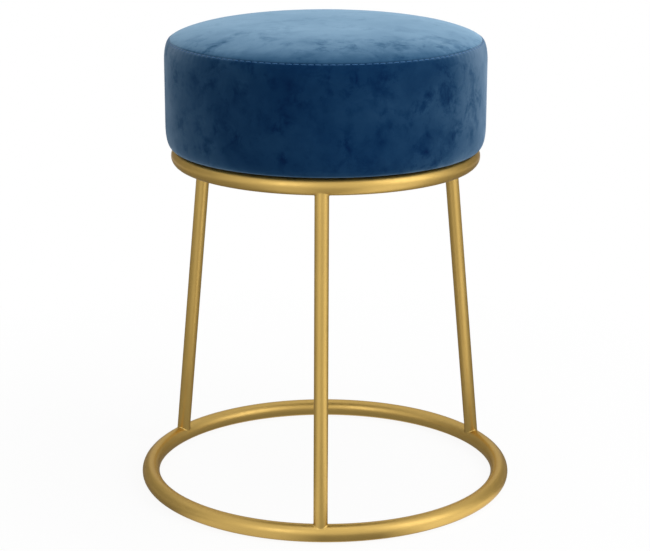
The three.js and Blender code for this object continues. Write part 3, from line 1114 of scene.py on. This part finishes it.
def foam_block(name):
    """The foam's closed form, which rolls over the edge of the board."""
    sizes = bpy.context.scene.stool_cushion
    inset = sizes.velvet_thickness + 0.5 * MM
    curve = band_curve()[1:-6] + top_curve()[3:]
    outline = respaced(curve, lambda p: 4 * MM)
    inner = []
    for (r, z), n in zip(outline, normals_along(outline)):
        inner.append((max(r - n[0] * inset, 0.0), z - n[1] * inset))
    inner[0] = (sizes.fold_radius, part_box("foam_pad")[0].z)
    inner[-1] = (0.0, inner[-1][1])
    lip = board_high.x + 0.3 * MM
    roof = board_high.z + 0.3 * MM
    start = [(0.0, roof), (lip, roof), (lip, inner[0][1])]
    piece = spun(name, start + inner, 96)
    for i in range(len(FIXINGS)):
        pocket = rod("pocket", 9.8 * MM, roof - 2 * MM, roof + 2 * MM, 24, fixing_radius)
        pocket.rotation_euler.z = LEG_TURN * (i + 0.5)
        settle(pocket)
        cut(piece, pocket)
    return closed_up(piece)


def dust_disc(name):
    """A disc of thin cloth that hangs a little in its free middle."""
    radius = cloth_high.x
    spans = 26
    under = [(radius * i / spans, cloth_low.z) for i in range(spans + 1)]
    over = [(r, cloth_high.z) for r, z in under[::-1]]
    piece = spun(name, under + over, 144)
    for i in range(len(FIXINGS)):
        hole = rod("hole", 4.3 * MM, cloth_low.z - MM, cloth_high.z + MM, 24, fixing_radius)
        hole.rotation_euler.z = LEG_TURN * (i + 0.5)
        settle(hole)
        cut(piece, hole)
    for vertex in piece.data.vertices:
        away = math.hypot(vertex.co.x, vertex.co.y)
        turn = math.atan2(vertex.co.x, -vertex.co.y)
        slack = max(1 - (away / (0.1)) ** 2, 0) ** 2
        crease = math.sin(5 * turn + 1.3) * math.sin(away * 95) * min(away / 0.05, 1)
        vertex.co.z -= slack * (1.6 * MM + 0.5 * MM * crease)
    return closed_up(piece)


# The stage


def studio_floor():
    """Pale floor: a plain matt surface for the light that it throws back, and for the eye and for
    reflections one that fades to pure white away from the object, with the object's shadow."""
    look = bpy.context.scene.stool_stage
    made = bpy.data.materials.new("studio_floor")
    made.use_nodes = True
    tree = made.node_tree
    tree.nodes.remove(tree.nodes["Principled BSDF"])
    output = tree.nodes["Material Output"]
    plain = add_node(tree, "ShaderNodeBsdfDiffuse", {"Color": (*look.floor, 1)}).outputs[0]
    white = add_node(tree, "ShaderNodeEmission", {"Color": (1, 1, 1, 1), "Strength": 1.0})
    place = add_node(tree, "ShaderNodeTexCoord").outputs["Object"]
    away = add_node(tree, "ShaderNodeVectorMath", {0: place}, operation="LENGTH").outputs["Value"]
    fade = ranged(tree, away, 0.28, 0.75, 0.92, 1.0)
    lit = add_node(tree, "ShaderNodeMixShader", {0: fade, 1: plain, 2: white.outputs[0]})
    path = add_node(tree, "ShaderNodeLightPath")
    seen = reckoned(
        tree, "MAXIMUM", path.outputs["Is Camera Ray"], path.outputs["Is Glossy Ray"]
    )
    seen = reckoned(tree, "MAXIMUM", seen, path.outputs["Is Transmission Ray"])
    both = add_node(tree, "ShaderNodeMixShader", {0: seen, 1: plain, 2: lit.outputs[0]})
    clear = add_node(tree, "ShaderNodeBsdfTransparent").outputs[0]
    under = add_node(tree, "ShaderNodeNewGeometry").outputs["Backfacing"]
    shown = add_node(tree, "ShaderNodeMixShader", {0: under, 1: both.outputs[0], 2: clear})
    tree.links.new(shown.outputs[0], output.inputs["Surface"])
    return made


def lay_floor():
    deselect_all()
    bpy.ops.mesh.primitive_circle_add(vertices=96, radius=14, fill_type="NGON", location=(0, 0, 0))
    floor = named("studio_floor")
    floor.data.materials.append(studio_floor())


def soft_box(name, place, width, height, power):
    aim = (0, 0, 0.3)
    bpy.ops.object.light_add(type="AREA", location=place)
    lamp = named(name)
    lamp.data.shape = "RECTANGLE"
    lamp.data.size = width
    lamp.data.size_y = height
    lamp.data.energy = power
    lamp.rotation_euler = (Vector(aim) - Vector(place)).to_track_quat("-Z", "Y").to_euler()
    return lamp


def dark_flag(name, radius, start, end, low, high):
    """A grey flag hung in an arc round the object, out of view: a glowing panel that only the metal's
    reflections see, which gives the metal its darker edges. Angles run from the front, anticlockwise."""
    deselect_all()
    bpy.ops.mesh.primitive_plane_add(size=MM, location=(0, 0, 0))
    flag = named(name)
    edit_all()
    bpy.ops.mesh.merge(type="CENTER")
    bpy.ops.transform.translate(value=(0, -radius, low))
    bpy.ops.mesh.extrude_region_move(TRANSFORM_OT_translate={"value": (0, 0, high - low)})
    bpy.ops.object.mode_set(mode="OBJECT")
    flag.rotation_euler.z = end
    settle(flag)
    edit_all()
    bpy.ops.mesh.spin(
        steps=24, angle=end - start, center=(0, 0, 0), axis=(0, 0, 1), use_auto_merge=False
    )
    bpy.ops.object.mode_set(mode="OBJECT")
    hide_flag(flag)


def floor_flag(name, radius):
    """The same glowing grey flag laid under the object, just over the floor, with painted light: it
    glows paler where it leads to the soft boxes."""
    deselect_all()
    bpy.ops.mesh.primitive_circle_add(
        vertices=96, radius=radius, fill_type="NGON", location=(0, 0, 3 * MM)
    )
    flag = named(name)
    settle(flag)
    hide_flag(flag)


def hide_flag(flag):
    flag.data.materials.append(material("flag_cloth", flag_cloth))
    flag.visible_camera = False
    flag.visible_diffuse = False
    flag.visible_shadow = False
    flag.visible_transmission = False


def flag_cloth():
    """A grey glow for the metal to reflect, with a paler fan of painted light towards each soft box."""
    look = bpy.context.scene.stool_stage
    made = bpy.data.materials.new("flag_cloth")
    made.use_nodes = True
    tree = made.node_tree
    tree.nodes.remove(tree.nodes["Principled BSDF"])
    place = add_node(tree, "ShaderNodeTexCoord").outputs["Object"]
    axes = add_node(tree, "ShaderNodeSeparateXYZ", {"Vector": place}).outputs
    turn = reckoned(tree, "ARCTAN2", axes["X"], reckoned(tree, "MULTIPLY", axes["Y"], -1.0))
    tone = look.flag_tone
    for middle, width, light in FANS:
        away = reckoned(tree, "ABSOLUTE", reckoned(tree, "SUBTRACT", turn, middle), 0.0)
        fan = ranged(tree, away, width * 0.5, width, light - look.flag_tone, 0.0)
        tone = reckoned(tree, "ADD", fan, tone)
    glow = add_node(tree, "ShaderNodeEmission", {"Color": (1, 1, 1, 1), "Strength": tone})
    tree.links.new(glow.outputs[0], tree.nodes["Material Output"].inputs["Surface"])
    return made


def light_room():
    look = bpy.context.scene.stool_stage
    world = bpy.data.worlds.new("studio_room")
    bpy.context.scene.world = world
    world.use_nodes = True
    tree = world.node_tree
    tree.nodes.clear()
    path = add_node(tree, "ShaderNodeLightPath")
    seen = reckoned(
        tree, "MAXIMUM", path.outputs["Is Camera Ray"], path.outputs["Is Glossy Ray"]
    )
    seen = reckoned(tree, "MAXIMUM", seen, path.outputs["Is Transmission Ray"])
    white = add_node(tree, "ShaderNodeBackground", {"Color": (1, 1, 1, 1), "Strength": 1.0})
    room = add_node(
        tree, "ShaderNodeBackground", {"Color": (1, 1, 1, 1), "Strength": look.room_light}
    )
    both = add_node(
        tree, "ShaderNodeMixShader", {0: seen, 1: room.outputs[0], 2: white.outputs[0]}
    )
    output = add_node(tree, "ShaderNodeOutputWorld")
    tree.links.new(both.outputs[0], output.inputs["Surface"])


def set_camera():
    """The camera of the photograph: a little above the seat, and 2 m away."""
    bpy.ops.object.camera_add(
        location=(0.0468, -1.9863, 0.7746),
        rotation=(math.radians(74.37), math.radians(-0.0963), math.radians(1.389)),
    )
    camera = named("studio_camera")
    camera.data.sensor_width = 36
    camera.data.lens = 109.97
    camera.data.clip_end = 100
    bpy.context.scene.camera = camera


# Operators


class STOOL_OT_stage(bpy.types.Operator):
    """Lays the floor, hangs the soft boxes and flags and sets the camera"""

    bl_idname = "stool.stage"
    bl_label = "Studio stage"

    def execute(self, context):
        look = context.scene.stool_stage
        context.scene.view_settings.view_transform = "Standard"
        lay_floor()
        light_room()
        soft_box("key_box", (1.9, -1.0, 1.3), 1.4, 2.0, look.key_power)
        wash = soft_box("key_wash", (1.9, -1.0, 1.3), 1.4, 2.0, look.wash_power)
        wash.visible_glossy = False
        soft_box("fill_box", (-1.0, -2.0, 1.2), 0.8, 1.4, look.fill_power)
        soft_box("top_box", (0.2, -0.45, 2.3), 1.4, 1.0, look.top_power)
        sky = soft_box("sky_box", (0.5, 0.3, 2.4), 3.4, 3.4, look.sky_power)
        sky.visible_glossy = False
        dark_flag("flag_left", 2.2, math.radians(-158), math.radians(-80), 0.1, 1.6)
        dark_flag("flag_right", 2.2, math.radians(105), math.radians(158), 0.1, 1.6)
        floor_flag("flag_floor", 1.6)
        set_camera()
        return {"FINISHED"}


class STOOL_OT_rings(bpy.types.Operator):
    """Bends the floor ring and the seat ring"""

    bl_idname = "stool.rings"
    bl_label = "Rings"

    def execute(self, context):
        ring_piece("floor_ring_tube", lower_ring_radius, lower_ring_height, "lower_ring")
        ring_piece("seat_ring_tube", upper_ring_radius, upper_ring_height, "upper_ring")
        return {"FINISHED"}


class STOOL_OT_legs(bpy.types.Operator):
    """Draws the front leg, copes its ends and copies it to the two rear places"""

    bl_idname = "stool.legs"
    bl_label = "Legs and welds"

    def execute(self, context):
        gold = material("satin_gold", satin_gold)
        first = leg_tube("leg_tube_front")
        foot = weld_bead(
            "weld_foot_front", leg_foot, leg_head, lower_ring_radius, lower_ring_height
        )
        head = weld_bead(
            "weld_head_front", leg_head, leg_foot, upper_ring_radius, upper_ring_height
        )
        for i, name in enumerate(LEGS):
            turn = i * LEG_TURN
            leg = first if i == 0 else copied(first, "leg_tube_" + name, turn)
            finished(leg, gold, "gold_tube", "leg_" + name)
            for weld in (foot, head):
                bead = weld if i == 0 else copied(weld, weld.name.replace("front", name), turn)
                finished(bead, gold, "gold_tube")
        return {"FINISHED"}


class STOOL_OT_tabs(bpy.types.Operator):
    """Makes the seat tabs that are welded inside the seat ring"""

    bl_idname = "stool.tabs"
    bl_label = "Seat tabs"

    def execute(self, context):
        gold = material("satin_gold", satin_gold)
        plate = tab_plate("tab_plate")
        bead = tab_weld("tab_weld")
        for i, name in enumerate(FIXINGS):
            turn = (i + 0.5) * LEG_TURN
            tab = copied(plate, "tab_plate_" + name, turn)
            finished(tab, gold, "gold_tube", "seat_tab_" + name)
            finished(copied(bead, "tab_weld_" + name, turn), gold, "gold_tube")
        bpy.data.objects.remove(plate)
        bpy.data.objects.remove(bead)
        return {"FINISHED"}


class STOOL_OT_screws(bpy.types.Operator):
    """Turns the seat screws and their washers, and plates the nuts"""

    bl_idname = "stool.screws"
    bl_label = "Screws and washers"

    def execute(self, context):
        zinc = material("zinc_plating", zinc_plating)
        screw = domed_screw("screw")
        washer = flat_washer("washer")
        for i, name in enumerate(FIXINGS):
            turn = (i + 0.5) * LEG_TURN
            one = copied(screw, "domed_screw_" + name, turn)
            finished(one, zinc, "zinc_plate", "seat_screw_" + name)
            one = copied(washer, "flat_washer_" + name, turn)
            finished(one, zinc, "zinc_plate", "seat_washer_" + name)
            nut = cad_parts["tee_nut_" + name]
            nut.material_slots[0].material = zinc
        bpy.data.objects.remove(screw)
        bpy.data.objects.remove(washer)
        return {"FINISHED"}


class STOOL_OT_staples(bpy.types.Operator):
    """Bends one staple and copies it round the dust cover"""

    bl_idname = "stool.staples"
    bl_label = "Staples"

    def execute(self, context):
        zinc = material("zinc_plating", zinc_plating)
        wire = staple_wire("staple")
        for i, node in enumerate(STAPLES):
            name = node.replace("staple", "staple_wire")
            one = copied(wire, name, (i + 0.5) * STAPLE_TURN)
            finished(one, zinc, "zinc_plate", node)
        bpy.data.objects.remove(wire)
        return {"FINISHED"}


class STOOL_OT_seat(bpy.types.Operator):
    """Finishes the plywood board, cuts the foam and stretches the dust cover"""

    bl_idname = "stool.seat"
    bl_label = "Board, foam and dust cover"

    def execute(self, context):
        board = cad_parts["seat_board"]
        board.material_slots[0].material = material("birch_plywood", birch_plywood)
        foam = foam_block("foam_core")
        finished(foam, material("seat_foam", seat_foam), "foam", "foam_pad")
        disc = dust_disc("dust_cover_cloth")
        finished(disc, material("dust_cloth", dust_cloth), "dust_cloth", "dust_cover")
        return {"FINISHED"}


class STOOL_OT_cover(bpy.types.Operator):
    """Sews the velvet top and band, fills them out and lays the topstitching"""

    bl_idname = "stool.cover"
    bl_label = "Velvet cover"

    def execute(self, context):
        radius, height = stitch_place()
        form = swollen_form()

        def band_spacing(point):
            near = (point - Vector((radius, height))).length
            fold = (point - Vector((context.scene.stool_cushion.fold_radius, hem_low))).length
            fine = 0.45 * MM + 0.14 * max(near - 2.5 * MM, 0)
            low = 1.0 * MM + 0.12 * fold
            return min(fine, low, 4 * MM)

        def top_spacing(point):
            near = (point - Vector((radius, height))).length
            return min(0.5 * MM + 0.13 * max(near - 3 * MM, 0), 5 * MM)

        band = cover_piece(
            "velvet_band",
            band_curve(),
            band_spacing,
            lambda points, turn: closing_seam(turn) * (points[:, 1] > hem_low + MM),
            form,
        )
        look = context.scene.stool_cushion
        pile = velvet_pile("velvet_band", (0, 0, 0), BAND_SHEEN_TONES, look.band_sheen, BAND_MARKS, PAINTED_SHOULDER_LIFT)
        finished(band, pile, "velvet", "cover_band")
        top = cover_piece(
            "velvet_top", top_curve(), top_spacing, lambda points, turn: 0.0 * turn, form
        )
        pile = velvet_pile("velvet_top", (0.7, 0.3, 0.2), TOP_SHEEN_TONES, look.top_sheen, TOP_MARKS)
        finished(top, pile, "velvet", "cover_top")
        if form:
            bpy.data.objects.remove(form)
        row = stitch_row("topstitching")
        finished(row, material("sewing_thread", sewing_thread), "velvet")
        return {"FINISHED"}


class STOOL_PT_panel(bpy.types.Panel):
    """Lists the steps of the stool in the order in which they are made"""

    bl_idname = "STOOL_PT_panel"
    bl_label = "Vanity stool"
    bl_space_type = "VIEW_3D"
    bl_region_type = "UI"
    bl_category = "Vanity stool"

    def draw(self, context):
        for step in STEPS:
            self.layout.operator(step.bl_idname)
        for group in (
            context.scene.stool_frame,
            context.scene.stool_fixings,
            context.scene.stool_cushion,
            context.scene.stool_stage,
        ):
            box = self.layout.box()
            for name in group.__annotations__:
                box.prop(group, name)


GROUPS = {
    "stool_frame": FrameSizes,
    "stool_fixings": FixingSizes,
    "stool_cushion": CushionSizes,
    "stool_stage": StageLook,
}
STEPS = (
    STOOL_OT_stage,
    STOOL_OT_rings,
    STOOL_OT_legs,
    STOOL_OT_tabs,
    STOOL_OT_screws,
    STOOL_OT_staples,
    STOOL_OT_seat,
    STOOL_OT_cover,
)


def register():
    for name, group in GROUPS.items():
        bpy.utils.register_class(group)
        setattr(bpy.types.Scene, name, PointerProperty(type=group))
    for step in (*STEPS, STOOL_PT_panel):
        bpy.utils.register_class(step)


def unregister():
    for step in (STOOL_PT_panel, *reversed(STEPS)):
        bpy.utils.unregister_class(step)
    for name, group in reversed(GROUPS.items()):
        delattr(bpy.types.Scene, name)
        bpy.utils.unregister_class(group)


def main():
    register()
    bpy.ops.stool.stage()
    bpy.ops.stool.rings()
    bpy.ops.stool.legs()
    bpy.ops.stool.tabs()
    bpy.ops.stool.screws()
    bpy.ops.stool.staples()
    bpy.ops.stool.seat()
    bpy.ops.stool.cover()


if __name__ == "__main__":
    main()
